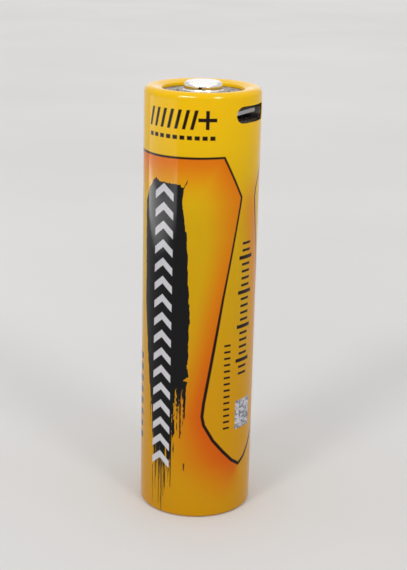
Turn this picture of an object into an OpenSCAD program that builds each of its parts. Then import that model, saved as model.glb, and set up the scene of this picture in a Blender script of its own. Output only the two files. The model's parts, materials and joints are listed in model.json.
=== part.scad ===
// Cylindrical rechargeable cell with a charging socket built into its positive end.
// The cell's axis is Z, its negative end stands on Z = 0, and the socket opens along +X.

/* [Bare cell] */
// Outside diameter of the steel can
cell_d = 18.1; // [17.6:0.1:22]
// Height of the bare cell, from the can's base to the top of its cap
cell_h = 64.8; // [45:0.1:80]
// Wall of the can
can_wall = 0.25; // [0.2:0.01:0.32]
// Base of the can
can_base = 0.3; // [0.2:0.05:0.5]
// Depth of the groove rolled in below the cap
bead_depth = 1.3; // [0.9:0.1:1.6]
// How far the cap stands above the crimped edge
cap_proud = 0.35; // [0.25:0.05:0.5]

/* [Cap assembly] */
// Thickness of the cap
cap_t = 0.4; // [0.3:0.05:0.5]
// Diameter of the cap's raised middle
cap_boss_d = 9; // [7:0.1:10]
// Thickness of the self-resetting fuse ring
ptc_t = 0.3; // [0.2:0.05:0.4]
// Thickness of the rupture disc
disc_t = 0.25; // [0.15:0.05:0.35]
// Thickness of the pressure cut-off plate
cutoff_t = 0.35; // [0.25:0.05:0.5]
// Wall of the sealing gasket
gasket_t = 0.35; // [0.25:0.05:0.45]

/* [Winding] */
// Turns in the winding
turns = 7; // [5:1:7]
// Thickness of the anode sheet
anode_t = 0.32; // [0.2:0.01:0.34]
// Thickness of the cathode sheet
cathode_t = 0.3; // [0.2:0.01:0.32]
// Thickness of each separator
separator_t = 0.1; // [0.06:0.01:0.12]
// Width of the tabs welded to the sheets
tab_w = 3; // [2:0.5:4]

/* [Sleeve] */
// Wall of the shrink sleeve
sleeve_wall = 0.14; // [0.08:0.01:0.2]
// Opening in the sleeve at the positive end
top_opening_d = 12.8; // [11:0.1:14]
// Opening in the sleeve at the negative end
base_opening_d = 13.2; // [10:0.1:14]
// Rounding of the shoulder at the positive end
shoulder_r = 1; // [0.6:0.05:1.1]
// Rounding of the sleeve's lower edge
foot_r = 0.6; // [0.4:0.05:0.9]
// How far the sleeve's inner lip dips below its rim
lip_dip = 0.35; // [0.2:0.05:0.55]

/* [Charging module] */
// Thickness of the circuit board
board_t = 1; // [0.8:0.1:1.6]
// Wall of the housing around the board
rim_wall = 0.95; // [0.6:0.05:1]
// Wall of the housing below the board
housing_wall = 1.35; // [1.1:0.05:1.5]
// Height of the housing's rim above the board
rim_rise = 0.8; // [0.65:0.01:1.2]
// Thickness of the nickel strips
strip_t = 0.08; // [0.05:0.01:0.12]
// Width of the strip from the cap to the board
plus_strip_w = 4; // [3:0.5:5]
// Width of the strip from the can to the board
minus_strip_w = 3; // [2:0.5:4]
// Length of the strip's weld on the can, below the groove
weld_run = 8; // [4:0.5:20]

/* [Positive button] */
// Diameter of the button
button_d = 6.1; // [5:0.1:7]
// Height of the button above the board
button_h = 1.65; // [1.2:0.05:2]
// Sheet thickness of the button
button_wall = 0.3; // [0.2:0.05:0.4]
// Diameter of the button's flange
flange_d = 8.4; // [7.5:0.1:10]
// Diameter of the vent holes in the button's side
vent_d = 0.55; // [0.3:0.05:0.6]
// Number of vent holes in the button's side
vent_count = 3; // [2:1:6]

/* [Socket] */
// Width of the socket's opening
mouth_w = 8.34; // [8.2:0.01:9]
// Height of the socket's opening
mouth_h = 2.56; // [2.4:0.01:3.2]
// Sheet thickness of the socket's shell
shell_t = 0.3; // [0.2:0.01:0.35]
// Length of the socket's shell
shell_len = 6.9; // [6:0.1:7.4]
// Width of the socket's tongue
tongue_w = 6.69; // [6.5:0.01:7]
// Thickness of the socket's tongue over its contacts
tongue_t = 0.7; // [0.6:0.01:0.8]
// How far the tongue's nose lies behind the shell's mouth
tongue_recess = 0.5; // [0.3:0.05:1]

/* [Hidden] */
$fn = 96;

// Clearances
slip = 0.02;          // between round pieces that nest
seat_gap = 0.05;      // between a piece and a pocket that it drops into
cut = 1;              // how far a cutting shape runs past what it cuts
arc_steps = 6;        // flats in a rounded corner of a turned profile

// Radii
cell_r = cell_d / 2;
can_in_r = cell_r - can_wall;
strip_in_r = cell_r + slip;
strip_out_r = strip_in_r + strip_t;
sleeve_in_r = strip_out_r + slip;
sleeve_r = sleeve_in_r + sleeve_wall;
housing_r = sleeve_in_r - slip;
rim_in_r = housing_r - rim_wall;
ledge_r = housing_r - housing_wall;
board_r = rim_in_r - slip;

// Heights from the negative end up
can_z = sleeve_wall;
pole_h = 0.05;        // how far the middle of the can's base is pressed out
pole_r = base_opening_d / 2 - 0.3;
cap_top_z = can_z + cell_h;
crimp_z = cap_top_z - cap_proud;
washer_t = 0.2;
housing_z = crimp_z + washer_t;
tape_gap = 0.13;
tape_t = 0.1;
shell_z = cap_top_z + strip_t + tape_gap + tape_t;
shell_w = mouth_w + 2 * shell_t;
shell_h = mouth_h + 2 * shell_t;
socket_z = shell_z + shell_h / 2;
board_z = shell_z + shell_h;
board_top_z = board_z + board_t;
housing_top_z = board_top_z + rim_rise - slip;
sleeve_h = housing_top_z + slip + sleeve_wall;
button_top_z = board_top_z + button_h;
vent_turn = 50;       // angle from the socket to the first vent hole

// Cap assembly, from the crimped edge down
crimp_r = 0.8;
crimp_in_r = cell_r - 1.85;
lip_z = crimp_z - can_wall;
flange_top_z = lip_z - slip - gasket_t;
ptc_z = flange_top_z - cap_t - ptc_t;
disc_z = ptc_z - disc_t;
bead_seat_z = disc_z - gasket_t;
gasket_r = can_in_r - slip;
gasket_in_r = crimp_in_r - 0.3;
stack_r = gasket_r - gasket_t - slip;
cutoff_gap = 0.4;
cutoff_z = disc_z - cutoff_gap - cutoff_t;
cutoff_r = gasket_in_r - 0.3;
weld_tab_t = 0.1;
cathode_tab_z = cutoff_z - weld_tab_t;

// Groove rolled into the can
groove_r = 0.45;
groove_round = 0.35;
groove_z = bead_seat_z - groove_r - can_wall;
groove_c = cell_r - bead_depth + groove_r;
groove_edge = groove_r + groove_round;
groove_low_z = groove_z - groove_edge;

// Winding
insulator_t = 0.3;
can_floor_z = can_z + can_base;
lower_insulator_z = can_floor_z + weld_tab_t;
roll_z = lower_insulator_z + insulator_t + seat_gap;
upper_insulator_z = groove_low_z + groove_round - can_wall - insulator_t - seat_gap;
roll_top_z = upper_insulator_z - seat_gap;
anode_inset = 0.5;
cathode_inset = 0.8;
winding_tape_t = 0.05;
roll_r = can_in_r - winding_tape_t - 2 * slip - 0.1;
pitch = 2 * separator_t + anode_t + cathode_t + 4 * slip;
core_r = roll_r - (turns + 0.75) * pitch;
anode_start = core_r + separator_t + slip;
outer_separator_start = anode_start + anode_t + slip;
cathode_start = outer_separator_start + separator_t + slip;
cathode_tab_turn = 4;
anode_tab_turn = 10;
cathode_tab_r = cathode_start + (cathode_tab_turn * pitch + cathode_t) / 2;
anode_tab_r = anode_start + (anode_tab_turn * pitch + anode_t) / 2;

// Socket, from its mouth inward
shell_front_x = sqrt(pow(housing_r - slip, 2) - pow(shell_w / 2, 2));
shell_back_x = shell_front_x - shell_len;
tongue_front_x = shell_front_x - tongue_recess;
base_len = 1.6;
contact_t = 0.05;
core_t = tongue_t - 2 * contact_t;
contact_nose = 0.7;
contact_y = [0.5, 1.52, 2.75];
contact_w = [0.25, 0.4, 0.4];
tail_t = 0.12;
tail_x = [shell_back_x - 0.45, shell_back_x - 1];
leg_len = 1;
leg_x = [shell_back_x + 1.2, shell_front_x - 2.6];
leg_y = shell_w / 2 + 0.03;
leg_top_z = board_top_z - 0.2;
window_margin = 0.03;
mid_plate_t = 0.15;
mid_plate_w = tongue_w - 0.5;

// Greatest y of a piece at x under the board that still clears the housing's ledge
function edge_y(x, size) =
    sqrt(pow(ledge_r - 2 * seat_gap, 2) - pow(abs(x) + size[0] / 2, 2)) - size[1] / 2;

// Pieces on the board's underside: sizes in x, y and z, and places in x and y
tail_row_x = tail_x[1] - tail_t;
plus_leg_x = tail_row_x - 2.4;
plus_foot = 1.4;
minus_foot_x = -(ledge_r - 0.75);
chip_size = [2.9, 1.6, 1.1];
chip_x = tail_row_x - 1.5;
chip_y = 4.9;
chip_stand = 0.05;
lead_w = 0.35;
lead_reach = 0.6;
lead_t = 0.12;
lead_pitch = 0.95;
switch_chip_size = [2, 3, 0.8];
switch_chip_x = (plus_leg_x - plus_foot + minus_foot_x) / 2;
capacitor_size = [2, 1.25, 1.25];
capacitor_x = shell_back_x + 1.35;
capacitor_at = [
    for (s = [-1, 1]) [plus_leg_x - 2, s * 3.7],
    for (s = [-1, 1]) [capacitor_x, s * edge_y(capacitor_x, capacitor_size)]
];
resistor_size = [0.8, 1.6, 0.45];
resistor_x = shell_back_x - 0.45;
resistor_at = [
    for (s = [-1, 1]) [switch_chip_x - 0.75, s * 2.7],
    for (s = [-1, 1]) [resistor_x, s * edge_y(resistor_x, resistor_size)]
];
led_size = [0.8, 1, 0.6];
led_x = shell_front_x - 3.35;
led_at = [for (s = [-1, 1]) [led_x, s * edge_y(led_x, led_size)]];

// ---- Shapes used by several pieces ----

// Points on a rounded corner; skip leaves out the first ones
function arc(cx, cy, r, from, to, skip = 0, steps = arc_steps) =
    [for (i = [skip : steps]) let (a = from + (to - from) * i / steps)
        [cx + r * cos(a), cy + r * sin(a)]];

module turned(points) {
    rotate_extrude() polygon(points);
}

module ring(inner, outer, z, h) {
    rotate_extrude() translate([inner, z]) square([outer - inner, h]);
}

module ring_piece(inner, outer, z, h, middle, angle) {
    rotate([0, 0, middle - angle / 2])
        rotate_extrude(angle = angle) translate([inner, z]) square([outer - inner, h]);
}

// Box from its lowest z, centred on x and y
module block(x, y, z, size) {
    translate([x - size[0] / 2, y - size[1] / 2, z]) cube(size);
}

// Box between two x values, centred on y
module bar(x0, x1, w, z, h) {
    translate([x0, -w / 2, z]) cube([x1 - x0, w, h]);
}

module long_hole(w, h) {
    square([w - h, h], center = true);
    for (s = [-1, 1]) translate([s * (w - h) / 2, 0]) circle(d = h);
}

// Long-hole shape drawn out along X from x0, at the socket's height
module socket_form(w, h, x0, len) {
    translate([x0, 0, socket_z]) rotate([90, 0, 90]) linear_extrude(len) long_hole(w, h);
}

// A piece of chip or other part that hangs under the board
module under_board(at, size, stand = 0) {
    block(at[0], at[1], board_z - stand - size[2], size);
}

// ---- Outside ----

module shrink_sleeve() {
    shoulder = sleeve_r - shoulder_r;
    run = shoulder - top_opening_d / 2;
    lip_r = (pow(run, 2) + pow(lip_dip, 2)) / (2 * lip_dip);
    lip_angle = asin(run / lip_r);
    color("gold") difference() {
        turned(concat(
            [[base_opening_d / 2, 0]],
            arc(sleeve_r - foot_r, foot_r, foot_r, -90, 0),
            arc(shoulder, sleeve_h - shoulder_r, shoulder_r, 0, 90),
            arc(shoulder, sleeve_h - lip_r, lip_r, 90, 90 + lip_angle, 1),
            arc(shoulder, sleeve_h - lip_r, lip_r - sleeve_wall, 90 + lip_angle, 90),
            arc(shoulder, sleeve_h - shoulder_r, shoulder_r - sleeve_wall, 90, 0, 1),
            arc(sleeve_r - foot_r, foot_r, foot_r - sleeve_wall, 0, -90),
            [[base_opening_d / 2, sleeve_wall]]
        ));
        socket_form(mouth_w + 2 * window_margin, mouth_h + 2 * window_margin,
            shell_front_x - cut, sleeve_r);
    }
}

module positive_button() {
    r = button_d / 2;
    round_r = min(0.75, button_h / 2);
    fillet_r = 0.2;
    flange_z = board_top_z + button_wall;
    color("silver") difference() {
        turned(concat(
            [[0, button_top_z]],
            arc(r - round_r, button_top_z - round_r, round_r, 90, 0, steps = 2 * arc_steps),
            arc(r + fillet_r, flange_z + fillet_r, fillet_r, 180, 270),
            [
                [flange_d / 2, flange_z],
                [flange_d / 2, board_top_z],
                [r - button_wall, board_top_z],
                [r - button_wall, button_top_z - round_r]
            ],
            arc(r - round_r, button_top_z - round_r, round_r - button_wall, 0, 90, 1),
            [[0, button_top_z - button_wall]]
        ));
        for (i = [0 : vent_count - 1])
            rotate([0, 0, vent_turn + i * 360 / vent_count])
                translate([r - 2 * button_wall, 0, board_top_z + button_h / 2])
                    rotate([0, 90, 0]) cylinder(d = vent_d, h = 3 * button_wall, $fn = 32);
    }
}

// ---- Charging module ----

module circuit_board() {
    color("seagreen") difference() {
        translate([0, 0, board_z]) cylinder(r = board_r, h = board_t);
        for (x = leg_x, s = [-1, 1])
            translate([x - seat_gap, s * (leg_y - shell_t / 2) - shell_t / 2 - seat_gap, board_z - cut])
                cube([leg_len + 2 * seat_gap, shell_t + 2 * seat_gap, board_t + 2 * cut]);
    }
}

module module_housing() {
    round_r = min(shoulder_r - sleeve_wall, rim_wall - slip);
    groove_angle = 2 * asin((minus_strip_w / 2 + seat_gap) / strip_in_r);
    color("dimgray") difference() {
        turned(concat(
            [[ledge_r, housing_z], [housing_r, housing_z]],
            arc(housing_r - round_r, housing_top_z - round_r, round_r, 0, 90),
            [[rim_in_r, housing_top_z], [rim_in_r, board_z], [ledge_r, board_z]]
        ));
        // Room for the socket's shell and its legs, and the way out to the sleeve's window
        bar(0, shell_front_x, 2 * (leg_y + seat_gap), shell_z - tape_t - seat_gap,
            shell_h + tape_t + seat_gap);
        socket_form(shell_w + 2 * seat_gap, shell_h + 2 * seat_gap, shell_front_x - cut, sleeve_r);
        // Channel and slot for the negative strip
        ring_piece(strip_in_r - slip, sleeve_r, housing_z - cut, board_z - housing_z + cut,
            180, groove_angle);
        bar(-sleeve_r, 0, minus_strip_w + 2 * seat_gap, board_z - strip_t - slip, strip_t + slip);
    }
}

module socket_shell() {
    color("silver") {
        difference() {
            socket_form(shell_w, shell_h, shell_back_x, shell_len);
            socket_form(mouth_w, mouth_h, shell_back_x - cut, shell_len + 2 * cut);
        }
        for (x = leg_x, s = [-1, 1])
            translate([x, s * (leg_y - shell_t / 2) - shell_t / 2, socket_z])
                cube([leg_len, shell_t, leg_top_z - socket_z]);
    }
}

// Height of the underside of a contact above or below the tongue's middle
function contact_z(side) = socket_z + (side > 0 ? core_t / 2 : -core_t / 2 - contact_t);

module socket_tongue() {
    color("black") difference() {
        union() {
            socket_form(mouth_w - 2 * slip, mouth_h - 2 * slip, shell_back_x, base_len);
            bar(shell_back_x + base_len / 2, tongue_front_x, tongue_w, socket_z - core_t / 2, core_t);
        }
        for (side = [-1, 1], s = [-1, 1], i = [0 : len(contact_y) - 1])
            translate([shell_back_x - cut, s * contact_y[i] - contact_w[i] / 2 - slip,
                       contact_z(side) - (side > 0 ? 0 : slip)])
                cube([base_len + cut + slip, contact_w[i] + 2 * slip, contact_t + slip]);
        bar(shell_back_x - cut, tongue_front_x - contact_nose + slip, mid_plate_w + 2 * slip,
            socket_z - mid_plate_t / 2 - slip, mid_plate_t + 2 * slip);
    }
}

module socket_mid_plate() {
    color("lightsteelblue")
        bar(shell_back_x + seat_gap, tongue_front_x - contact_nose, mid_plate_w,
            socket_z - mid_plate_t / 2, mid_plate_t);
}

module socket_contacts() {
    color("goldenrod")
        for (side = [-1, 1], s = [-1, 1], i = [0 : len(contact_y) - 1]) {
            x = side > 0 ? tail_x[0] : tail_x[1];
            z = contact_z(side);
            translate([0, s * contact_y[i], 0]) {
                bar(x, tongue_front_x - contact_nose, contact_w[i], z, contact_t);
                bar(x - tail_t, x, contact_w[i], z, board_z - z);
            }
        }
}

module socket_tape() {
    color("orange")
        bar(shell_back_x, shell_front_x - 0.6, shell_w - shell_h, shell_z - tape_t, tape_t);
}

module charge_chip() {
    color("black") under_board([chip_x, chip_y], chip_size, chip_stand);
}

module protection_chip() {
    color("black") under_board([chip_x, -chip_y], chip_size, chip_stand);
}

module power_switch_chip() {
    color("black") under_board([switch_chip_x, 0], switch_chip_size);
}

// Bent legs along both sides of the two legged chips
module chip_leads() {
    knee_h = chip_size[2] / 2;
    color("lightgray")
        for (y = [-chip_y, chip_y], side = [-1, 1], i = [-1 : 1])
            translate([chip_x + i * lead_pitch - lead_w / 2, y, 0])
                scale_y(side) {
                    translate([0, chip_size[1] / 2, board_z - lead_t])
                        cube([lead_w, lead_reach, lead_t]);
                    translate([0, chip_size[1] / 2, board_z - knee_h])
                        cube([lead_w, lead_t, knee_h]);
                }
}

module scale_y(side) {
    if (side > 0) children();
    else mirror([0, 1, 0]) children();
}

module capacitors() {
    color("tan") for (at = capacitor_at) under_board(at, capacitor_size);
}

module resistors() {
    color("darkslategray") for (at = resistor_at) under_board(at, resistor_size);
}

module indicator_leds() {
    color("whitesmoke") for (at = led_at) under_board(at, led_size);
}

// From the cap, up behind the socket, to the board
module positive_strip() {
    color("silver") {
        bar(plus_leg_x, cap_boss_d / 2 - 1.5, plus_strip_w, cap_top_z, strip_t);
        bar(plus_leg_x, plus_leg_x + strip_t, plus_strip_w, cap_top_z, board_z - cap_top_z);
        bar(plus_leg_x - plus_foot, plus_leg_x + strip_t, plus_strip_w, board_z - strip_t, strip_t);
    }
}

// From the can's side, up past the groove, to the board
module negative_strip() {
    weld_z = groove_low_z - weld_run;
    color("silver") {
        ring_piece(strip_in_r, strip_out_r, weld_z, board_z - weld_z,
            180, 2 * asin(minus_strip_w / 2 / strip_in_r));
        intersection() {
            bar(-sleeve_r, minus_foot_x, minus_strip_w - 2 * seat_gap, board_z - strip_t, strip_t);
            cylinder(r = strip_in_r + strip_t / 2, h = sleeve_h);
        }
    }
}

module insulating_washer() {
    color("ivory") ring(cap_boss_d / 2 + 0.6, cell_r - 0.3, crimp_z, washer_t);
}

// ---- Bare cell: cap assembly ----

module cell_cap() {
    r = cap_boss_d / 2;
    round_r = cap_t / 2;
    slot_h = 0.35;
    slot_w = 2;
    slot_count = 4;
    flange_z = flange_top_z - cap_t;
    color("silver") difference() {
        turned(concat(
            [[0, cap_top_z]],
            arc(r - round_r, cap_top_z - round_r, round_r, 90, 0),
            [
                [r, flange_top_z],
                [stack_r, flange_top_z],
                [stack_r, flange_z],
                [r - cap_t, flange_z],
                [r - cap_t, cap_top_z - cap_t],
                [0, cap_top_z - cap_t]
            ]
        ));
        for (i = [0 : slot_count - 1])
            rotate([0, 0, i * 360 / slot_count])
                bar(r - 2 * cap_t, r + cap_t, slot_w, flange_top_z + 0.05, slot_h);
    }
}

module fuse_ring() {
    color("darkgray") ring(cap_boss_d / 2 + 0.7, stack_r, ptc_z, ptc_t);
}

module rupture_disc() {
    cutoff_top_z = cutoff_z + cutoff_t;
    color("lightgray") turned([
        [0, cutoff_top_z], [1.5, cutoff_top_z], [4, disc_z], [stack_r, disc_z],
        [stack_r, ptc_z], [4.1, ptc_z], [1.6, cutoff_top_z + disc_t], [0, cutoff_top_z + disc_t]
    ]);
}

module cutoff_insulator() {
    color("white") ring(4.8, cutoff_r, cutoff_z + cutoff_t, cutoff_gap);
}

module cutoff_plate() {
    vent_r = 0.6;
    vents = 6;
    color("lightgray") difference() {
        translate([0, 0, cutoff_z]) cylinder(r = cutoff_r, h = cutoff_t);
        for (i = [0 : vents - 1])
            rotate([0, 0, (i + 0.5) * 360 / vents])
                translate([cutoff_r / 2 + 0.5, 0, cutoff_z - cut])
                    cylinder(r = vent_r, h = cutoff_t + 2 * cut, $fn = 32);
    }
}

module cap_gasket() {
    corner = cell_r - crimp_r;
    corner_z = crimp_z - crimp_r;
    chamfer = groove_round - can_wall + slip;
    color("dodgerblue") turned(concat(
        [
            [gasket_in_r, bead_seat_z],
            [gasket_r - chamfer, bead_seat_z],
            [gasket_r, bead_seat_z + chamfer]
        ],
        arc(corner, corner_z, crimp_r - can_wall - slip, 0, 90),
        [
            [gasket_in_r, lip_z - slip],
            [gasket_in_r, flange_top_z],
            [stack_r + slip, flange_top_z],
            [stack_r + slip, disc_z],
            [gasket_in_r, disc_z]
        ]
    ));
}

// ---- Bare cell: winding and can ----

// A sheet wound as half rings about two centres half a pitch apart
module wound_sheet(start, t, z, h) {
    translate([-pitch / 4, 0, z])
        for (half = [0 : 2 * turns - 1])
            translate([half % 2 * pitch / 2, 0, 0]) rotate([0, 0, half % 2 * 180])
                rotate_extrude(angle = 180)
                    translate([start + half * pitch / 2, 0]) square([t, h]);
}

module anode_sheet() {
    color("peru") wound_sheet(anode_start, anode_t,
        roll_z + anode_inset, roll_top_z - roll_z - 2 * anode_inset);
}

module cathode_sheet() {
    color("dimgray") wound_sheet(cathode_start, cathode_t,
        roll_z + cathode_inset, roll_top_z - roll_z - 2 * cathode_inset);
}

module inner_separator() {
    color("white") wound_sheet(core_r, separator_t, roll_z, roll_top_z - roll_z);
}

module outer_separator() {
    color("snow") wound_sheet(outer_separator_start, separator_t, roll_z, roll_top_z - roll_z);
}

module winding_tape() {
    color("khaki") ring(roll_r + slip, roll_r + slip + winding_tape_t,
        roll_z + anode_inset, roll_top_z - roll_z - 2 * anode_inset);
}

// A tab: an upright stretch that follows its sheet, and a flat one to the middle
module tab(r, z0, z1, flat_z) {
    past_middle = 1.5;
    translate([-pitch / 4, 0, 0]) {
        ring_piece(r - weld_tab_t / 2, r + weld_tab_t / 2, z0, z1 - z0,
            90, 2 * asin((tab_w / 2 - seat_gap) / r));
        translate([-tab_w / 2, -past_middle, flat_z]) cube([tab_w, r + past_middle, weld_tab_t]);
    }
}

module cathode_tab() {
    color("lightgray") tab(cathode_tab_r, roll_top_z - cathode_inset,
        cathode_tab_z + weld_tab_t, cathode_tab_z);
}

module anode_tab() {
    color("silver") tab(anode_tab_r, can_floor_z, roll_z + anode_inset, can_floor_z);
}

// A disc over one end of the winding, with a middle hole and a slot for the tab
module winding_insulator(z, tab_r) {
    slot_l = tab_w + 4 * seat_gap;
    slot_t = tab_r - sqrt(pow(tab_r, 2) - pow(tab_w / 2, 2)) + weld_tab_t + 4 * seat_gap;
    difference() {
        translate([0, 0, z]) cylinder(r = can_in_r - 4 * seat_gap, h = insulator_t);
        translate([0, 0, z - cut]) cylinder(r = core_r, h = insulator_t + 2 * cut);
        translate([-pitch / 4 - slot_l / 2, tab_r + weld_tab_t / 2 + 2 * seat_gap - slot_t, z - cut])
            cube([slot_l, slot_t, insulator_t + 2 * cut]);
    }
}

module upper_insulator() {
    color("white") winding_insulator(upper_insulator_z, cathode_tab_r);
}

module lower_insulator() {
    color("white") winding_insulator(lower_insulator_z, anode_tab_r);
}

module cell_can() {
    can_foot_r = 0.6;
    inner_foot_r = can_foot_r - can_wall;
    corner = cell_r - crimp_r;
    corner_z = crimp_z - crimp_r;
    edge_c = cell_r - groove_round;
    inner_round = groove_round - can_wall;
    low_z = groove_low_z;
    high_z = groove_z + groove_edge;
    color("lightsteelblue") turned(concat(
        [[0, can_z - pole_h], [pole_r, can_z - pole_h], [pole_r, can_z]],
        arc(cell_r - can_foot_r, can_z + can_foot_r, can_foot_r, -90, 0),
        arc(edge_c, low_z, groove_round, 0, 90),
        arc(groove_c, groove_z, groove_r, 270, 90),
        arc(edge_c, high_z, groove_round, -90, 0),
        arc(corner, corner_z, crimp_r, 0, 90),
        [[crimp_in_r, crimp_z], [crimp_in_r, lip_z]],
        arc(corner, corner_z, crimp_r - can_wall, 90, 0),
        arc(edge_c, high_z, inner_round, 0, -90),
        arc(groove_c, groove_z, groove_r + can_wall, 90, 270),
        arc(edge_c, low_z, inner_round, 90, 0),
        arc(can_in_r - inner_foot_r, can_floor_z + inner_foot_r, inner_foot_r, 0, -90),
        [[0, can_floor_z]]
    ));
}

shrink_sleeve();
positive_button();
circuit_board();
module_housing();
socket_shell();
socket_tongue();
socket_mid_plate();
socket_contacts();
socket_tape();
charge_chip();
protection_chip();
power_switch_chip();
chip_leads();
capacitors();
resistors();
indicator_leds();
positive_strip();
negative_strip();
insulating_washer();
cell_cap();
fuse_ring();
rupture_disc();
cutoff_insulator();
cutoff_plate();
cap_gasket();
cathode_tab();
upper_insulator();
anode_sheet();
cathode_sheet();
inner_separator();
outer_separator();
winding_tape();
anode_tab();
lower_insulator();
cell_can();
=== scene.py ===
"""Looks of a cylindrical rechargeable cell: its printed shrink sleeve, contacts and charging socket."""
import json
import math
import bmesh
import bpy
from mathutils import Matrix, Vector, noise


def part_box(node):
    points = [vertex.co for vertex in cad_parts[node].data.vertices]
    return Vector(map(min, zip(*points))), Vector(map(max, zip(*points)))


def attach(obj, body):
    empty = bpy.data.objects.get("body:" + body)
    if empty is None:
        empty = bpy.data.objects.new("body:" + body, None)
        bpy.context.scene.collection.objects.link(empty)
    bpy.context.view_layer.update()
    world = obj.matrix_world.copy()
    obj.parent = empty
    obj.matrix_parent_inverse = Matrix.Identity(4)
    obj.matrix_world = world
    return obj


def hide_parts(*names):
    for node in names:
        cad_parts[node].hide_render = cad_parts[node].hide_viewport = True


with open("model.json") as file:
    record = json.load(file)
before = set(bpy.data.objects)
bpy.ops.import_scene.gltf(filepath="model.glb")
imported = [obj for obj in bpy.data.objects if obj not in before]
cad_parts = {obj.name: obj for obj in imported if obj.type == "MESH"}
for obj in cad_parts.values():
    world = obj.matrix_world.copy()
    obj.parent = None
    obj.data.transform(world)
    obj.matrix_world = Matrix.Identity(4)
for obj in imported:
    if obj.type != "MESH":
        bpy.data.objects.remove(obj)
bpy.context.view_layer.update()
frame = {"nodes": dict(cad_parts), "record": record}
NODES = frame["nodes"]
MM = 0.001

# ---- Sizes, in millimetres, from the CAD frame ----


def span(node):
    low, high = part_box(node)
    return low / MM, high / MM


def radius_at(node, lowest, highest, pick):
    """The least or greatest distance from the axis of a node's points between two heights."""
    points = [v.co / MM for v in NODES[node].data.vertices]
    return pick(math.hypot(p.x, p.y) for p in points if lowest <= p.z <= highest)


SLIP = 0.02            # between the housing's rim and the film over it
WINDOW_SLACK = 0.1     # how much wider and higher the window is than the tongue's base
FLANGE_REACH = 0.6     # the button's flange lies less than this above the board
END_REACH = 2          # the sleeve's openings lie less than this from its two ends

sleeve_high = span("shrink_sleeve")[1]
tongue_low, tongue_high = span("socket_tongue")
board_z = span("circuit_board")[1].z
housing_z = span("module_housing")[1].z
sleeve_h = sleeve_high.z
sleeve_r = max(sleeve_high.x, sleeve_high.y)
film_t = sleeve_h - housing_z - SLIP
lip_r = radius_at("shrink_sleeve", sleeve_h - END_REACH, sleeve_h, min)
base_r = radius_at("shrink_sleeve", 0, END_REACH, min)
button_r = radius_at("positive_button", board_z + FLANGE_REACH, math.inf, max)
socket_z = (tongue_low.z + tongue_high.z) / 2
window_w = tongue_high.y - tongue_low.y + WINDOW_SLACK
window_h = tongue_high.z - tongue_low.z + WINDOW_SLACK

# ---- The sleeve's shape, in millimetres ----

FILM_INSET = 0.012     # keeps the film's waves inside the CAD model's box
FOOT_R = 0.6           # rounding at the negative end
SHOULDER_R = 1         # rounding at the positive end
LIP_DIP = 0.35         # how far the lip falls towards the button
CURL_R = 0.2           # rounding of the lip's edge, which curls down to the board
CURL_GAP = 0.09        # between the curled edge and the board
SWAY = 0.006           # how far the film's slow waves swing its wall
SWAY_ROUND = 2.2       # how fine these waves are round the axis
SWAY_UP = 14           # and how long up the film
RIPPLE = 0.07          # how far the lip's ripples swing its edge in and out
RIPPLE_ROUND = 5       # how fine the ripples are round the axis
RIPPLE_PLACE = 3.7     # the slice of the noise that they follow
SAG = 0.03             # how far they sag the lip
COLUMNS = 288          # columns of the mesh, round the axis
PATCH_COLUMNS = 30     # columns on each side of the socket that make room for its window
PATCH_MARGIN = 1.1     # height of the mesh around the window, above and below it
PATCH_RINGS = 7        # rings of the mesh between the window and the columns
RING_CROWDING = 1.4    # above 1, the rings crowd towards the window
NEAR = 0.01            # two lengths closer than this are the same

# ---- The print, in degrees round from its front and millimetres up ----
# Places are (degrees, height). A value that changes up the film is a list of (value, height).

PRINT_FRONT = -61      # where the print's front lies, from +X
EDGE = 0.06            # half the width of a mark's soft edge
WAVE_DEPTH = 0.00002   # metres; of the film's fine waves, which only its gloss shows
TOP_LINE_Z = 60.3      # the dark line round the top
# The outline's width
LINE_W = [(0.55, 8), (0.5, 30), (0.36, 42), (0.36, 61)]
# The film's yellow, and the orange of its glow, by height. Both are lighter at the top and darker towards
# the bottom: partly the print's own shift towards orange, partly painted shade and painted light for light
# that falls from above
YELLOWS_AND_PAINTED_SHADE = [
    ((208, 147, 0), 0), ((212, 152, 0), 22), ((214, 164, 0), 38), ((218, 171, 0), 50),
    ((246, 195, 0), 62), ((254, 200, 0), 68),
]
ORANGES_AND_PAINTED_SHADE = [((212, 90, 0), 0), ((214, 93, 0), 24), ((226, 103, 0), 40), ((232, 107, 0), 68)]
# The outline's left and right sides, from the top line down to its point
SHIELD_LEFT = [
    (22.3, 60.5), (43.2, 54), (41.8, 52.6), (24.5, 37.7), (7.2, 20.3), (5.8, 18), (7.7, 16.5),
    (17.5, 13.7), (28.7, 11.5), (39.9, 9.6), (50, 8.5),
]
SHIELD_RIGHT = [
    (88, 60.3), (67.5, 54.8), (66, 53.4), (70, 49), (84, 38), (97, 24), (97, 19), (88, 15.5),
    (68, 11), (58, 9.3), (50, 8.5),
]
# The orange glow along the outline: its reach, its strength, and where it ends under the outline
GLOW_REACH = [
    (10, 3), (10, 9), (8.5, 12), (6.2, 16), (5.2, 22), (4.7, 30), (4.7, 42), (5.5, 48), (8, 54), (7, 60),
]
GLOW_STRENGTH = [
    (0, 0), (0.55, 4), (1, 10), (1, 18), (0.95, 24), (0.85, 32), (0.78, 40), (0.65, 48), (0.78, 54),
    (0.9, 60),
]
GLOW_END = [(34, 0), (42, 4), (50, 8.5)]
INNER_GLOW = (5.6, 0.6)     # reach and strength of the glow along the outline's right side
BACK_GLOW = (6.2, 0.85)     # and of the glow under the top line round the back
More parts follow.
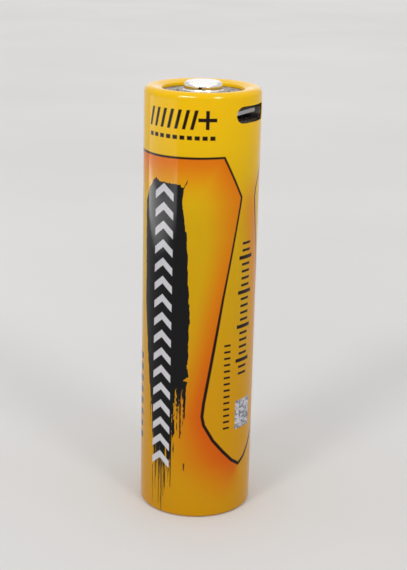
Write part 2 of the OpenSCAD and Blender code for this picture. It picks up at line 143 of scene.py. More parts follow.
# The brush stroke: its edges, with the top one's as (height, degrees), the edge of its dry part,
# and its lone bristles as (degrees, lower end, upper end, width)
STROKE_LEFT = [
    (-44, 3), (-50, 7), (-52, 13), (-54.5, 20), (-58.5, 25), (-62, 30), (-66, 36), (-66.3, 53),
    (-61, 55), (-50, 58),
]
STROKE_RIGHT = [
    (-27, 3), (-25, 12), (-23, 18.5), (-21.5, 22.3), (-17, 23.6), (-9.5, 24.8), (-9.5, 31),
    (-8.5, 35), (-10.5, 40), (-12, 46.4), (-14.5, 49.5), (-17.8, 53.6), (-16.5, 55.4), (-11.5, 57.3),
]
STROKE_TOP = [
    (51, -70), (54.9, -60), (57, -49), (56.3, -44), (56.3, -24), (55.8, -17), (57.1, -12.8), (56, -9),
]
DRY_RIGHT = [(-22, 3), (-13, 9), (-9.5, 17), (-9, 24.8)]
BRISTLES = [
    (-49.5, 1.2, 8, 0.14), (-45.5, 4, 9, 0.12), (-40.5, 1.5, 9, 0.2), (-37, 0, 9, 0.26), (-34.5, 3, 9, 0.14),
    (-26, 5, 14, 0.26), (-16.5, 14, 23.5, 0.3), (-12.2, 17.5, 24, 0.42), (-11.8, 8.3, 9.6, 0.28),
]
# The lines that the plain marks stand along
CHEVRON_LINE = [(-39, 9), (-38, 57)]
SCALE_LINE = [(51.5, 24), (53, 47)]
SMALL_LINE = [(32, 15), (31, 30.4)]
SIDE_LINE = [(-92, 11), (-92, 27)]
# The patch of silver flecks
FLECKS_ROUND = (43, 67)
FLECKS_UP = (14.9, 19.9)
FLECK = 0.36


def srgb(red, green, blue):
    """A colour given as 0 to 255 in sRGB, as linear values."""
    def linear(c):
        c /= 255
        return c / 12.92 if c <= 0.04045 else ((c + 0.055) / 1.055) ** 2.4
    return linear(red), linear(green), linear(blue)


INK = srgb(17, 17, 18)
LINE_INK = srgb(28, 9, 4)
WHITE_INK = srgb(210, 208, 213)
FLECK_DARK = srgb(118, 122, 136)


# ---- Values worked out by shader nodes ----

class Field:
    """A number that Math nodes work out at each point of a surface."""

    def __init__(self, tree, socket):
        self.tree = tree
        self.socket = socket

    def node(self, operation, *others):
        node = self.tree.nodes.new("ShaderNodeMath")
        node.operation = operation
        for socket, value in zip(node.inputs, (self, *others)):
            feed(self.tree, socket, value)
        return Field(self.tree, node.outputs[0])

    def __add__(self, other):
        return self.node("ADD", other)

    def __sub__(self, other):
        return self.node("SUBTRACT", other)

    def __mul__(self, other):
        return self.node("MULTIPLY", other)

    def __abs__(self):
        return self.node("ABSOLUTE")

    def least(self, other):
        return self.node("MINIMUM", other)

    def greatest(self, other):
        return self.node("MAXIMUM", other)

    def ramp(self, start, end, low=0, high=1):
        """Goes straight from low to high as this value goes from start to end, and no further."""
        if isinstance(end, Field):
            share = (self - start).node("DIVIDE", end - start)
            line = share.node("MULTIPLY_ADD", high - low, low)
        else:
            slope = (high - low) / (end - start)
            line = self.node("MULTIPLY_ADD", slope, low - start * slope)
        return line.greatest(min(low, high)).least(max(low, high))

    def fade(self, end, high=1):
        """Goes smoothly from high to 0 as this value goes from 0 to end."""
        node = self.tree.nodes.new("ShaderNodeMapRange")
        node.interpolation_type = "SMOOTHSTEP"
        node.clamp = False
        for name, value in (("Value", self), ("From Max", end), ("To Min", high), ("To Max", 0)):
            feed(self.tree, node.inputs[name], value)
        return Field(self.tree, node.outputs["Result"])

    def below(self, edge, soft):
        """1 where this value is below edge, 0 where it is above."""
        return (self - edge).ramp(-soft, soft, 1, 0)

    def along(self, points):
        """The broken line through (value, at) points, given in rising order of at."""
        values = [value for value, at in points]
        low, reach = min(values), max(values) - min(values)
        first, length = points[0][1], points[-1][1] - points[0][1]
        node = self.tree.nodes.new("ShaderNodeValToRGB")
        stops = node.color_ramp.elements
        while len(stops) < len(points):
            stops.new(1)
        for stop, (value, at) in zip(stops, points):
            stop.position = (at - first) / length
            stop.alpha = (value - low) / reach
        feed(self.tree, node.inputs["Fac"], self.node("MULTIPLY_ADD", 1 / length, -first / length))
        return Field(self.tree, node.outputs["Alpha"]).node("MULTIPLY_ADD", reach, low)


def feed(tree, socket, value):
    """Puts a Field, a node's output or a constant into a node's input."""
    if isinstance(value, Field):
        tree.links.new(value.socket, socket)
    elif isinstance(value, bpy.types.NodeSocket):
        tree.links.new(value, socket)
    else:
        socket.default_value = value


def colour(rgb):
    return (*rgb, 1)


def blended(tree, amount, first, second):
    """The first colour where amount is 0, the second where it is 1."""
    node = tree.nodes.new("ShaderNodeMix")
    node.data_type = "RGBA"
    for index, value in ((0, amount), (6, first), (7, second)):
        feed(tree, node.inputs[index], colour(value) if isinstance(value, tuple) else value)
    return node.outputs[2]


def shaded(tree, up, shades):
    """The colour at a height, from (colour, height) stops in rising order of height."""
    node = tree.nodes.new("ShaderNodeValToRGB")
    stops = node.color_ramp.elements
    while len(stops) < len(shades):
        stops.new(1)
    top = shades[-1][1]
    for stop, (shade, height) in zip(stops, shades):
        stop.position = height / top
        stop.color = colour(srgb(*shade))
    feed(tree, node.inputs["Fac"], up * (1 / top))
    return node.outputs["Color"]


def noise_field(tree, vector, scale, detail=3, stretch=(1, 1, 1), roughness=0.5):
    """Noise between about 0 and 1 over a vector, finer along the axes with more stretch."""
    mapping = tree.nodes.new("ShaderNodeMapping")
    mapping.inputs["Scale"].default_value = stretch
    tree.links.new(vector, mapping.inputs["Vector"])
    node = tree.nodes.new("ShaderNodeTexNoise")
    tree.links.new(mapping.outputs["Vector"], node.inputs["Vector"])
    node.inputs["Scale"].default_value = scale
    node.inputs["Detail"].default_value = detail
    node.inputs["Roughness"].default_value = roughness
    return Field(tree, node.outputs["Fac"])


def bumped(tree, shader, height, distance):
    """Raises the surface by height, from 0 to 1, times a distance in metres."""
    node = tree.nodes.new("ShaderNodeBump")
    node.inputs["Distance"].default_value = distance
    node.inputs["Strength"].default_value = 1
    feed(tree, node.inputs["Height"], height)
    tree.links.new(node.outputs["Normal"], shader.inputs["Normal"])


def new_material(name, **constants):
    """A material with its Principled shader and its object coordinates."""
    material = bpy.data.materials.new(name)
    material.use_nodes = True
    tree = material.node_tree
    shader = tree.nodes["Principled BSDF"]
    for key, value in constants.items():
        shader.inputs[key.replace("_", " ")].default_value = value
    place = tree.nodes.new("ShaderNodeTexCoord").outputs["Object"]
    return material, tree, shader, place


def split(tree, vector):
    """The three numbers of a vector."""
    node = tree.nodes.new("ShaderNodeSeparateXYZ")
    tree.links.new(vector, node.inputs[0])
    return [Field(tree, socket) for socket in node.outputs]


def height_of(tree, place):
    """The height in millimetres."""
    return split(tree, place)[2] * (1 / MM)


# ---- The printed film ----

def print_places(tree, place):
    """Degrees round from the print's front, millimetres round, and millimetres up."""
    x, y, z = split(tree, place)
    front = math.radians(PRINT_FRONT)
    ahead = x * math.cos(front) + y * math.sin(front)
    right = y * math.cos(front) - x * math.sin(front)
    angle = right.node("ARCTAN2", ahead)
    return angle * math.degrees(1), angle * sleeve_r, z * (1 / MM)


def flat_point(tree, across, up):
    node = tree.nodes.new("ShaderNodeCombineXYZ")
    feed(tree, node.inputs["X"], across)
    feed(tree, node.inputs["Y"], up)
    return node.outputs[0]


def vector_node(tree, operation, first, second=None, scale=None):
    node = tree.nodes.new("ShaderNodeVectorMath")
    node.operation = operation
    feed(tree, node.inputs[0], first)
    if second is not None:
        feed(tree, node.inputs[1], second)
    if scale is not None:
        feed(tree, node.inputs["Scale"], scale)
    return node


def across_at(degrees):
    """Millimetres round the film from the print's front."""
    return math.radians(degrees) * sleeve_r


def unrolled(place):
    """A place of the print in millimetres on the unrolled film."""
    degrees, height = place
    return Vector((across_at(degrees), height, 0))


def distance_to(tree, point, places):
    """The distance in millimetres from a point to the broken line through places."""
    nearest = None
    for start, end in zip(places, places[1:]):
        start, end = unrolled(start), unrolled(end)
        run = end - start
        offset = vector_node(tree, "SUBTRACT", point, start).outputs[0]
        share = Field(tree, vector_node(tree, "DOT_PRODUCT", offset, run).outputs["Value"])
        share = (share * (1 / run.length_squared)).greatest(0).least(1)
        foot = vector_node(tree, "SCALE", run, scale=share).outputs[0]
        apart = vector_node(tree, "DISTANCE", offset, foot).outputs["Value"]
        nearest = Field(tree, apart) if nearest is None else nearest.least(Field(tree, apart))
    return nearest


def rising(points):
    """A broken line given from the top down, as (degrees, height) in rising order of height."""
    return sorted(points, key=lambda point: point[1])


def shield_lines(tree, point):
    """The distances to the outline's left and right parts, with the line round the back."""
    left = distance_to(tree, point, [(-181, TOP_LINE_Z), (-40, TOP_LINE_Z)] + SHIELD_LEFT)
    right = distance_to(tree, point, [(181, TOP_LINE_Z)] + SHIELD_RIGHT)
    return left, right


def glow_amount(degrees, up, left, right):
    """Orange glows outside the shield's left edge, inside its right one and under the top line."""
    reach = up.along(GLOW_REACH)
    strength = up.along(GLOW_STRENGTH)
    edge = up.along(GLOW_END[:-1] + rising(SHIELD_LEFT))
    # Under the outline the glow ends softly, and along it sharply
    soft = up.ramp(5, 9, 11, 0.5)
    outside = (degrees - edge).ramp(soft * -1, soft, 1, 0)
    far_edge = up.along(rising(SHIELD_RIGHT))
    inside = degrees.below(far_edge, 0.5)
    main = left.fade(reach) * strength * outside
    inner = right.fade(*INNER_GLOW) * inside * (outside * -1 + 1) * up.ramp(14, 30) * up.ramp(58, 52)
    back = (up * -1 + TOP_LINE_Z).fade(*BACK_GLOW) * (inside * -1 + 1)
    return main.greatest(inner).greatest(back) * up.below(TOP_LINE_Z, 0.05)


def bristle(across, up, bend, at, low, high, width):
    """One bristle's trace, which thins out towards its lower end."""
    near = abs(across + bend - across_at(at))
    return near.below(up.ramp(low, high, width * 0.25, width / 2), 0.05) * band(up, low, high, 0.15)


def stroke_amount(tree, degrees, across, up, point):
    """A dry-brush stroke of ink that frays towards the negative end."""
    rough = noise_field(tree, point, 1.1, detail=5, stretch=(1, 0.5, 1), roughness=0.6) - 0.5
    streaks = noise_field(tree, point, 1, detail=4, stretch=(3.6, 0.11, 1), roughness=0.62)
    # The body, whose sides waver and soften towards its foot
    fray = up.ramp(24, 12, 0.7, 6)
    wave = rough * up.ramp(30, 16, 4.5, 12)
    left = (degrees - up.along(STROKE_LEFT) + wave * 0.6).ramp(fray * -0.5, fray)
    right = (up.along(STROKE_RIGHT) - degrees + wave).ramp(fray * -0.7, fray * 0.5)
    top = (degrees.along(STROKE_TOP) - up + rough * 1.2).ramp(-0.1, 0.2)
    worn = up.ramp(3, 15, 0.1, 1)
    body = left * right * top * worn
    # The dry part on the right of its foot
    beyond = (up.along(DRY_RIGHT) - degrees + wave).ramp(-2, 2) * (degrees + 30).ramp(0, 4)
    dry = beyond * band(up, 8, 24.5, 0.6) * up.ramp(9, 23.5, 0.28, 0.62)
    broken = noise_field(tree, point, 1, detail=3, stretch=(2.4, 1.1, 1))
    # Both break up along the bristles' streaks
    ink = (body - streaks.ramp(0.32, 0.66, 0.06, 0.9)).ramp(-0.04, 0.05)
    ink = ink.greatest((dry - streaks * 0.7 - broken * 0.42).ramp(-0.07, 0.0))
    bend = rough * 0.35
    for at, low, high, width in BRISTLES:
        ink = ink.greatest(bristle(across, up, bend, at, low, high, width))
    return ink


def band(value, low, high, soft=EDGE):
    """1 between low and high, 0 outside."""
    return value.ramp(low - soft, low + soft) * value.ramp(high - soft, high + soft, 1, 0)


def bars(turn, count, pitch, thickness):
    """1 on a row of bars, where turn counts them from 0."""
    near = abs(turn.node("FRACT") - 0.5) * pitch
    row = near.ramp(thickness / 2 - EDGE, thickness / 2 + EDGE, 1, 0)
    return row * band(turn, 0, count, 0.01)


def ticks(across, up, line, pitch, thickness, length, peak=0):
    """Plain bars across a line that runs up the film, bent up by peak in their middles."""
    (low_at, low), (high_at, high) = line
    centre = up.ramp(low, high, across_at(low_at), across_at(high_at))
    aside = abs(across - centre)
    turn = (up + aside * (2 * peak / length) - low) * (1 / pitch)
    count = round((high - low) / pitch)
    return bars(turn, count, pitch, thickness) * aside.below(length / 2, EDGE)


def hatch(across, up, first, count, pitch, width, low, high, lean):
    """A row of plain upright strokes, side by side, that lean by lean millimetres per millimetre."""
    turn = (across - (up - low) * lean - across_at(first)) * (1 / pitch)
    return bars(turn, count, pitch, width) * band(up, low, high)


def plus_sign(across, up, at, height, size, width):
    """The polarity mark of the positive end."""
    aside = abs(across - across_at(at))
    above = abs(up - height)
    upright = aside.below(width / 2, 0.05) * above.below(size / 2, 0.05)
    return upright.greatest(above.below(width / 2, 0.05) * aside.below(size / 2, 0.05))


def dark_marks(across, up):
    """Plain marks in dark ink: a hatched row, a plus sign, a dashed rule, scales and a block of bars."""
    marks = hatch(across, up, first=-62, count=7, pitch=1.3, width=0.56, low=64.8, high=67.8, lean=0.25)
    dashes = hatch(across, up, first=-60, count=10, pitch=1.2, width=0.8, low=63.2, high=63.85, lean=0)
    plus = plus_sign(across, up, at=5, height=66.3, size=2.9, width=0.56)
    marks = marks.greatest(plus).greatest(dashes)
    marks = marks.greatest(ticks(across, up, SCALE_LINE, pitch=1.15, thickness=0.42, length=2))
    marks = marks.greatest(ticks(across, up, SCALE_LINE, pitch=5.75, thickness=0.62, length=3.3))
    marks = marks.greatest(ticks(across, up, SMALL_LINE, pitch=1.1, thickness=0.36, length=1.2))
    return marks.greatest(ticks(across, up, SIDE_LINE, pitch=2, thickness=1.1, length=6.4))


def speckled(tree, point, first, second):
    """Small square flecks of two colours."""
    snapped = vector_node(tree, "SNAP", point, Vector((FLECK, FLECK, 1))).outputs[0]
    node = tree.nodes.new("ShaderNodeTexWhiteNoise")
    tree.links.new(snapped, node.inputs["Vector"])
    return blended(tree, Field(tree, node.outputs["Value"]).ramp(0.15, 0.75), first, second)


def printed_film():
    material, tree, shader, place = new_material(
        "printed_film", IOR=1.46, Specular_IOR_Level=0.17)
    degrees, across, up = print_places(tree, place)
    point = flat_point(tree, across, up)
    left, right = shield_lines(tree, point)

    glow = glow_amount(degrees, up, left, right)
    # The yellow and the orange carry painted shade, darker lower down the film, besides the print's own
    # colours
    base = blended(tree, glow, shaded(tree, up, YELLOWS_AND_PAINTED_SHADE), shaded(tree, up, ORANGES_AND_PAINTED_SHADE))
    base = blended(tree, stroke_amount(tree, degrees, across, up, point), base, INK)
    chevrons = ticks(across, up, CHEVRON_LINE, pitch=3, thickness=1.25, length=3.6, peak=1.5)
    base = blended(tree, chevrons, base, WHITE_INK)
    base = blended(tree, left.least(right).below(up.along(LINE_W) * 0.5, 0.07), base, LINE_INK)
    base = blended(tree, dark_marks(across, up), base, LINE_INK)
    silver = band(degrees, *FLECKS_ROUND) * band(up, *FLECKS_UP)
    base = blended(tree, silver, base, speckled(tree, point, FLECK_DARK, WHITE_INK))

    tree.links.new(base, shader.inputs["Base Color"])
    waves = noise_field(tree, place, 230, detail=2)
    feed(tree, shader.inputs["Roughness"], waves.ramp(0.3, 0.7, 0.07, 0.11))
    bumped(tree, shader, waves, WAVE_DEPTH)
    return material


# ---- Other materials ----

METAL = {"Metallic": 1}
GRAIN_DEPTH = 0.00002  # metres; of the filler's grains


def drawn(stretch):
    """What drawn or rolled metal has: fine marks that are longer up the cell where stretch is small."""
    return {"Metallic": 1, "bump": 2e-6, "stretch": (1, 1, stretch)}


def mottled(name, first, second, scale, roughness, bump=0, stretch=(1, 1, 1), **constants):
    """A surface that varies between two colours, and a little in roughness."""
    material, tree, shader, place = new_material(name, **constants)
    patches = noise_field(tree, place, scale, detail=4, stretch=stretch).ramp(0.35, 0.65)
    mix = blended(tree, patches, srgb(*first), srgb(*second))
    tree.links.new(mix, shader.inputs["Base Color"])
    feed(tree, shader.inputs["Roughness"], patches.ramp(0, 1, roughness - 0.04, roughness + 0.05))
    if bump:
        bumped(tree, shader, patches, bump)
    return material


def granular(tree, place):
    """The colour of a grey ground with pale, dark and faintly tinted grains."""
    fine = noise_field(tree, place, 2300, detail=2).ramp(0.42, 0.58)
    tints = noise_field(tree, place, 1100, detail=1)
    cool = blended(tree, tints.ramp(0.42, 0.5), srgb(156, 165, 154), srgb(176, 170, 166))
    tinted = blended(tree, tints.ramp(0.52, 0.6), cool, srgb(187, 166, 168))
    return blended(tree, fine, srgb(98, 91, 88), tinted)


def board_surface():
    """Green laminate with a granular grey filler over its top."""
    material, tree, shader, place = new_material("board_laminate")
    filled = height_of(tree, place).ramp(board_z - 0.06, board_z - 0.03)
    grains = noise_field(tree, place, 2600, detail=3).ramp(0.36, 0.64)
    weave = noise_field(tree, place, 1500, detail=2).ramp(0.4, 0.6)
    laminate = blended(tree, weave, srgb(26, 84, 48), srgb(38, 104, 60))
    tree.links.new(blended(tree, filled, laminate, granular(tree, place)), shader.inputs["Base Color"])
    feed(tree, shader.inputs["Roughness"], grains.ramp(0, 1, 0.4, 0.55))
    bumped(tree, shader, grains * filled, GRAIN_DEPTH)
    return material


def button_surface():
    """Nickel-plated steel, with the granular filler over the flange round the button."""
    material, tree, shader, place = new_material("nickel_plate")
    flat = vector_node(tree, "MULTIPLY", place, Vector((1 / MM, 1 / MM, 0))).outputs[0]
    away = Field(tree, vector_node(tree, "LENGTH", flat).outputs["Value"])
    filled = away.ramp(button_r + 0.1, button_r + 0.2)
    sheen = noise_field(tree, place, 900).ramp(0.35, 0.65)
    nickel = blended(tree, sheen, srgb(240, 238, 234), srgb(230, 228, 224))
    tree.links.new(blended(tree, filled, nickel, granular(tree, place)), shader.inputs["Base Color"])
    feed(tree, shader.inputs["Metallic"], filled * -1 + 1)
    feed(tree, shader.inputs["Roughness"], filled.ramp(0, 1, 0.17, 0.5))
    bumped(tree, shader, noise_field(tree, place, 2600, detail=3) * filled, GRAIN_DEPTH)
    return material


def housing_surface():
    """Black moulding, with a granular grey filler over its rim above the board."""
    material, tree, shader, place = new_material("housing_plastic", Roughness=0.5)
    grains = noise_field(tree, place, 1500, detail=2).ramp(0.4, 0.6)
    black = blended(tree, grains, srgb(20, 20, 21), srgb(30, 30, 31))
    filled = height_of(tree, place).ramp(board_z - 0.02, board_z + 0.02)
    tree.links.new(blended(tree, filled, black, granular(tree, place)), shader.inputs["Base Color"])
    bumped(tree, shader, grains, 4e-6)
    return material


# Each mottled slot: its two colours, the scale of its patches, its roughness, and what else it has
MOTTLED = {
    "socket_steel": ((186, 184, 182), (200, 198, 196), 1300, 0.24, METAL),
    "moulding_plastic": ((196, 194, 197), (208, 206, 209), 1800, 0.45, {}),
    "gold_plate": ((226, 178, 92), (236, 192, 110), 2500, 0.22, METAL),
    "amber_film": ((196, 118, 26), (212, 134, 36), 900, 0.2, {}),
    "chip_resin": ((24, 24, 26), (34, 34, 36), 4000, 0.55, {"bump": 4e-6}),
    "tin_plate": ((196, 196, 198), (212, 212, 214), 3000, 0.3, METAL),
    "capacitor_ceramic": ((160, 122, 84), (176, 138, 100), 2500, 0.4, {}),
    "resistor_ceramic": ((30, 31, 34), (42, 43, 47), 3000, 0.4, {}),
    "clear_resin": ((238, 236, 214), (246, 244, 226), 2000, 0.15, {}),
    "nickel_strip": ((204, 200, 192), (218, 214, 206), 800, 0.3, drawn(0.2)),
    "insulating_paper": ((226, 222, 208), (238, 234, 222), 1600, 0.8, {"bump": 1e-5}),
    "can_steel": ((188, 188, 190), (204, 204, 206), 700, 0.28, drawn(0.1)),
    "fuse_polymer": ((52, 50, 48), (66, 64, 62), 1800, 0.6, {}),
    "aluminium_sheet": ((206, 207, 210), (220, 221, 224), 900, 0.32, drawn(1)),
    "insulator_plastic": ((226, 228, 226), (236, 238, 236), 1200, 0.5, {}),
    "gasket_plastic": ((186, 200, 214), (198, 212, 226), 1200, 0.4, {}),
    "anode_coating": ((52, 50, 49), (64, 62, 60), 2600, 0.8, {"bump": 8e-6}),
    "cathode_coating": ((38, 38, 41), (50, 50, 53), 2600, 0.7, {"bump": 8e-6}),
    "separator_film": ((236, 238, 238), (246, 247, 247), 1500, 0.5, {}),
    "winding_film": ((70, 142, 92), (84, 156, 106), 1000, 0.3, {}),
}


def make_materials():
    """The material of each slot in the record."""
    materials = {
        "printed_sleeve": printed_film(),
        "board_laminate": board_surface(),
        "nickel_plate": button_surface(),
        "housing_plastic": housing_surface(),
    }
    for slot, (first, second, scale, roughness, more) in MOTTLED.items():
        materials[slot] = mottled(slot, first, second, scale, roughness, **more)
    return materials


# ---- The sleeve's mesh ----

def between(first, last, steps):
    """Evenly spaced numbers from first to last."""
    return [first + (last - first) * i / steps for i in range(steps + 1)]


def arc(centre, radius, first, last, steps):
    """Points (distance from the axis, height) on an arc, between two angles in degrees."""
    turns = [math.radians(degrees) for degrees in between(first, last, steps)]
    return [(centre[0] + radius * math.cos(a), centre[1] + radius * math.sin(a)) for a in turns]


def lip_bend():
    """The radius and the angle of the arc from the shoulder to the sleeve's lip."""
    run = sleeve_r - SHOULDER_R - lip_r - CURL_R
    bend = (run * run + LIP_DIP * LIP_DIP) / (2 * LIP_DIP)
    return bend, math.degrees(math.asin(run / bend))


def wall(inset):
    """The profile from the base's edge to the lip's edge, at a depth inside the outer face."""
    shoulder = sleeve_r - SHOULDER_R
    bend, angle = lip_bend()
    low, high = patch_heights()
    straight = between(FOOT_R, low, 20)[1:-1] + between(low, high, 10)
    foot = arc((sleeve_r - FOOT_R, FOOT_R), FOOT_R - inset, -90, 0, 8)
    top = arc((shoulder, sleeve_h - SHOULDER_R), SHOULDER_R - inset, 0, 90, 10)
    lip = arc((shoulder, sleeve_h - bend), bend - inset, 90, 90 + angle, 12)
    turn = math.radians(90 + angle)
    curl_centre = (shoulder + (bend - CURL_R) * math.cos(turn),
                   sleeve_h - bend + (bend - CURL_R) * math.sin(turn))
    curl = arc(curl_centre, CURL_R - inset, 90 + angle, 180, 5)
    curl.append((curl[-1][0], board_z + CURL_GAP))
    base = [(r, inset) for r in between(base_r, foot[0][0], 4)[:-1]]
    return base + foot + [(sleeve_r - inset, z) for z in straight] + top + lip[1:] + curl[1:]


def patch_heights():
    """Where the patch of mesh round the window starts and ends."""
    reach = window_h / 2 + PATCH_MARGIN
    return socket_z - reach, socket_z + reach


def settled(angle, r, z):
    """A point of the film, with the slight waves that shrinking leaves, as a vector in metres."""
    round_x, round_y = math.cos(angle), math.sin(angle)
    sway = noise.noise(Vector((round_x * SWAY_ROUND, round_y * SWAY_ROUND, z / SWAY_UP)))
    ripple = noise.noise(Vector((round_x * RIPPLE_ROUND, round_y * RIPPLE_ROUND, RIPPLE_PLACE)))
    shoulder = sleeve_r - SHOULDER_R
    on_lip = max(0, (shoulder - r) / (shoulder - lip_r)) if z > sleeve_h / 2 else 0
    r = r - FILM_INSET - SWAY * sway + RIPPLE * on_lip * (ripple - 0.2)
    z = z - SAG * on_lip * (ripple + 1)
    return Vector((r * round_x, r * round_y, z)) * MM


def window_point(y, z):
    """The point of the window's edge that faces a point of the film, both from its middle."""
    half = (window_w - window_h) / 2
    middle = Vector((max(-half, min(half, y)), 0))
    way = (Vector((y, z)) - middle).normalized()
    return middle + way * window_h / 2


class SleeveMesh:
    """Rings of the profile round the axis, with a finer patch of mesh round the window."""

    def __init__(self):
        self.mesh = bmesh.new()
        outer, inner = wall(0), wall(film_t)
        self.profile = outer + inner[::-1]
        self.corners = {}
        self.walls = [(range(len(outer)), 0), (range(len(outer), len(self.profile)), film_t)]

    def corner(self, row, column):
        """The mesh's corner in a row of the profile and a column, made when it is first needed."""
        key = (row % len(self.profile), column % COLUMNS)
        if key not in self.corners:
            r, z = self.profile[key[0]]
            self.corners[key] = self.mesh.verts.new(settled(self.angle(key[1]), r, z))
        return self.corners[key]

    @staticmethod
    def angle(column):
        return 2 * math.pi * column / COLUMNS

    def beside_window(self, row):
        """Is this row of corners on a straight wall, at the patch's heights?"""
        low, high = patch_heights()
        r, z = self.profile[row % len(self.profile)]
        return r > sleeve_r - film_t - NEAR and low - NEAR < z < high + NEAR

    def in_patch(self, row, column):
        """Is the face between this row and the next, past this column, part of the patch?"""
        round_it = min(column, COLUMNS - 1 - column) < PATCH_COLUMNS
        return round_it and self.beside_window(row) and self.beside_window(row + 1)

    def border(self, rows):
        """The patch's border on one wall: corners in order round it."""
        inside = [row for row in rows if self.beside_window(row)]
        left, right = -PATCH_COLUMNS, PATCH_COLUMNS
        border = [(inside[0], c) for c in range(left, right)]
        border += [(r, right) for r in inside[:-1]]
        border += [(inside[-1], c) for c in range(right, left, -1)]
        border += [(r, left) for r in inside[:0:-1]]
        return border

    def patch(self, rows, inset):
        """Fills one wall's patch, and returns the corners along the window's edge."""
        r = sleeve_r - inset
        rings = []
        border = self.border(rows)
        for ring in range(PATCH_RINGS):
            share = (ring / PATCH_RINGS) ** RING_CROWDING
            corners = []
            for row, column in border:
                angle, z = self.angle(column), self.profile[row][1] - socket_z
                edge = window_point(sleeve_r * angle, z)
                edge_angle = math.asin(edge[0] / r)
                at = edge_angle + (angle - edge_angle) * share
                up = edge[1] + (z - edge[1]) * share
                corners.append(self.mesh.verts.new(settled(at, r, socket_z + up)))
            rings.append(corners)
        rings.append([self.corner(row, column) for row, column in border])
        for ring, wider in zip(rings, rings[1:]):
            self.join(ring, wider)
        return rings[0]

    def join(self, first, second):
        """Joins two closed rows of corners by faces."""
        for i in range(len(first)):
            self.mesh.faces.new((first[i - 1], first[i], second[i], second[i - 1]))

    def build(self):
        """The columns of faces, each wall's patch, and the window's edge between the two walls."""
        for row in range(len(self.profile)):
            for column in range(COLUMNS):
                if not self.in_patch(row, column):
                    self.mesh.faces.new((
                        self.corner(row, column), self.corner(row, column + 1),
                        self.corner(row + 1, column + 1), self.corner(row + 1, column)))
        edges = [self.patch(rows, inset) for rows, inset in self.walls]
        self.join(edges[0], self.matched(edges[0], edges[1]))
        bmesh.ops.recalc_face_normals(self.mesh, faces=self.mesh.faces)
        return self.mesh

    @staticmethod
    def matched(edge, other):
        """The other row of corners, turned and reversed to run beside the first."""
        start = min(range(len(other)), key=lambda i: (other[i].co - edge[0].co).length)
        turned = other[start:] + other[:start]
        back = turned[:1] + turned[:0:-1]
        return min(turned, back, key=lambda row: (row[1].co - edge[1].co).length)


SHARP_ANGLE = 40       # degrees between faces whose edge stays sharp


def new_object(name, mesh):
    """A smooth object made from a mesh under work, which is freed."""
    data = bpy.data.meshes.new(name)
    mesh.to_mesh(data)
    mesh.free()
    data.set_sharp_from_angle(angle=math.radians(SHARP_ANGLE))
    for face in data.polygons:
        face.use_smooth = True
    piece = bpy.data.objects.new(name, data)
    bpy.context.scene.collection.objects.link(piece)
    return piece


# ---- Floor, light and camera ----

CAMERA_AZIMUTH = 29        # degrees, from -Y towards +X
CAMERA_BACK = 0.20189      # metres from the cell's axis
CAMERA_HEIGHT = 0.09845    # metres
CAMERA_PAN = 0.212         # degrees to the right of the axis
CAMERA_TILT = 16.788       # degrees down
CAMERA_ROLL = 1.31         # degrees
CAMERA_LENS = 80.97        # millimetres
FLOOR_SIZE = 6             # metres
FLOOR_DROP = 0.00002       # metres that the floor lies under the cell, so that their faces differ
WORLD_GIVEN = 0.42         # the strength of the world's light on the object
WORLD_SEEN = 0.78          # and as the camera, metal and glass see it

# Each light's name, degrees round from the camera, degrees up, strength, and width in degrees
WIDE_LIGHTS = [
    ("key_light", -35, 36, 0.58, 14),
    ("right_light", 35, 36, 0.44, 14),
    ("overhead", 0, 88, 0.95, 110),
    ("back_light", 180, 20, 0.12, 40),
]
# Each card's name, degrees round from the camera, degrees up, distance, the height on the cell that it
# faces, width and height, all in metres, and how bright it looks
CARDS = [
    ("low_card", -85, 0, 0.15, 0.014, (0.24, 0.016), 3.4),
    ("tall_card", -85, 0, 0.16, 0.03, (0.24, 0.048), 1.6),
    ("left_card", -33, 36, 0.6, 0.07, (0.32, 0.13), 34),
    ("right_card", 31, 36, 0.6, 0.07, (0.15, 0.13), 34),
]


def add_camera():
    """The camera, which is turned to the side, then tilted, then rolled."""
    pan, tilt, roll = (math.radians(a) for a in (CAMERA_PAN, CAMERA_TILT, CAMERA_ROLL))
    turn = (Matrix.Rotation(math.radians(CAMERA_AZIMUTH) - pan, 4, "Z")
            @ Matrix.Rotation(math.pi / 2 - tilt, 4, "X")
            @ Matrix.Rotation(roll, 4, "Z"))
    azimuth = math.radians(CAMERA_AZIMUTH)
    place = Vector((math.sin(azimuth) * CAMERA_BACK, -math.cos(azimuth) * CAMERA_BACK, CAMERA_HEIGHT))
    data = bpy.data.cameras.new("camera")
    data.lens = CAMERA_LENS
    data.clip_start = 0.01
    data.clip_end = 50
    camera = bpy.data.objects.new("camera", data)
    camera.matrix_world = Matrix.Translation(place) @ turn
    bpy.context.scene.collection.objects.link(camera)
    bpy.context.scene.camera = camera


def add_floor():
    """A plain pale floor, without gloss, so that no card of light shows on it."""
    mesh = bmesh.new()
    bmesh.ops.create_grid(mesh, x_segments=8, y_segments=8, size=FLOOR_SIZE / 2)
    floor = new_object("floor", mesh)
    floor.location.z = -FLOOR_DROP
    floor.data.materials.append(mottled(
        "floor_surface", (226, 225, 223), (232, 231, 229), scale=6, roughness=0.6, Specular_IOR_Level=0))


def towards(aside, elevation):
    """A direction from the cell: degrees to the right of the camera's azimuth, and up."""
    turn, rise = math.radians(CAMERA_AZIMUTH + aside), math.radians(elevation)
    return Vector((math.sin(turn) * math.cos(rise), -math.cos(turn) * math.cos(rise), math.sin(rise)))


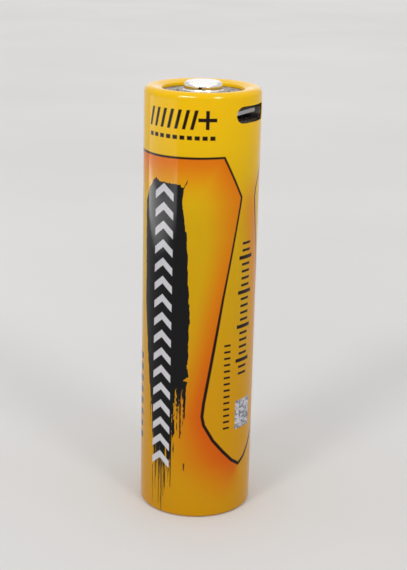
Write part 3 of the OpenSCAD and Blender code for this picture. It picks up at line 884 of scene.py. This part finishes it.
def add_lamp(name, data, way, distance=1.0, height=0.0):
    """A light, in metres from a height on the cell's axis, that shines back at it."""
    light = bpy.data.objects.new(name, data)
    light.location = way * distance + Vector((0, 0, height))
    light.rotation_euler = way.to_track_quat("Z", "Y").to_euler()
    light.visible_camera = False
    bpy.context.scene.collection.objects.link(light)
    return light


def add_wide_light(name, aside, elevation, strength, spread):
    """A light from far away that fills a disc of the sky, so that the floor is lit evenly."""
    data = bpy.data.lights.new(name, "SUN")
    data.energy = strength
    data.angle = math.radians(spread)
    add_lamp(name, data, towards(aside, elevation))


def add_card(name, aside, elevation, distance, height, size, radiance):
    """A card of light that only shows as a reflection in glossy surfaces."""
    data = bpy.data.lights.new(name, "AREA")
    data.shape = "RECTANGLE"
    data.size, data.size_y = size
    data.energy = radiance * math.pi * data.size * data.size_y
    card = add_lamp(name, data, towards(aside, elevation), distance, height)
    card.visible_diffuse = False


def add_world():
    """An even sky that is brighter in reflections and in the background than as light."""
    world = bpy.data.worlds.new("studio")
    world.use_nodes = True
    tree = world.node_tree
    rays = tree.nodes.new("ShaderNodeLightPath").outputs
    seen = Field(tree, rays["Is Camera Ray"])
    for kind in ("Is Glossy Ray", "Is Transmission Ray"):
        seen = seen.greatest(Field(tree, rays[kind]))
    background = tree.nodes["Background"]
    background.inputs["Color"].default_value = colour(srgb(250, 250, 252))
    feed(tree, background.inputs["Strength"], seen.ramp(0, 1, WORLD_GIVEN, WORLD_SEEN))
    bpy.context.scene.world = world


def add_light():
    add_world()
    for light in WIDE_LIGHTS:
        add_wide_light(*light)
    for card in CARDS:
        add_card(*card)


def finish_surface(piece, material):
    piece.data.materials.clear()
    piece.data.materials.append(material)


def build(materials):
    """Finishes the CAD pieces, and puts a printed sleeve in place of the CAD one."""
    slot_of = {part["node"]: part["material_slot"] for part in frame["record"]["subparts"]}
    for name, node in NODES.items():
        finish_surface(node, materials[slot_of[name]])
    sleeve = new_object("printed_sleeve", SleeveMesh().build())
    finish_surface(sleeve, materials["printed_sleeve"])
    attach(sleeve, "root")
    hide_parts("shrink_sleeve")


build(make_materials())
add_floor()
add_camera()
add_light()
bpy.context.scene.view_settings.view_transform = "Standard"
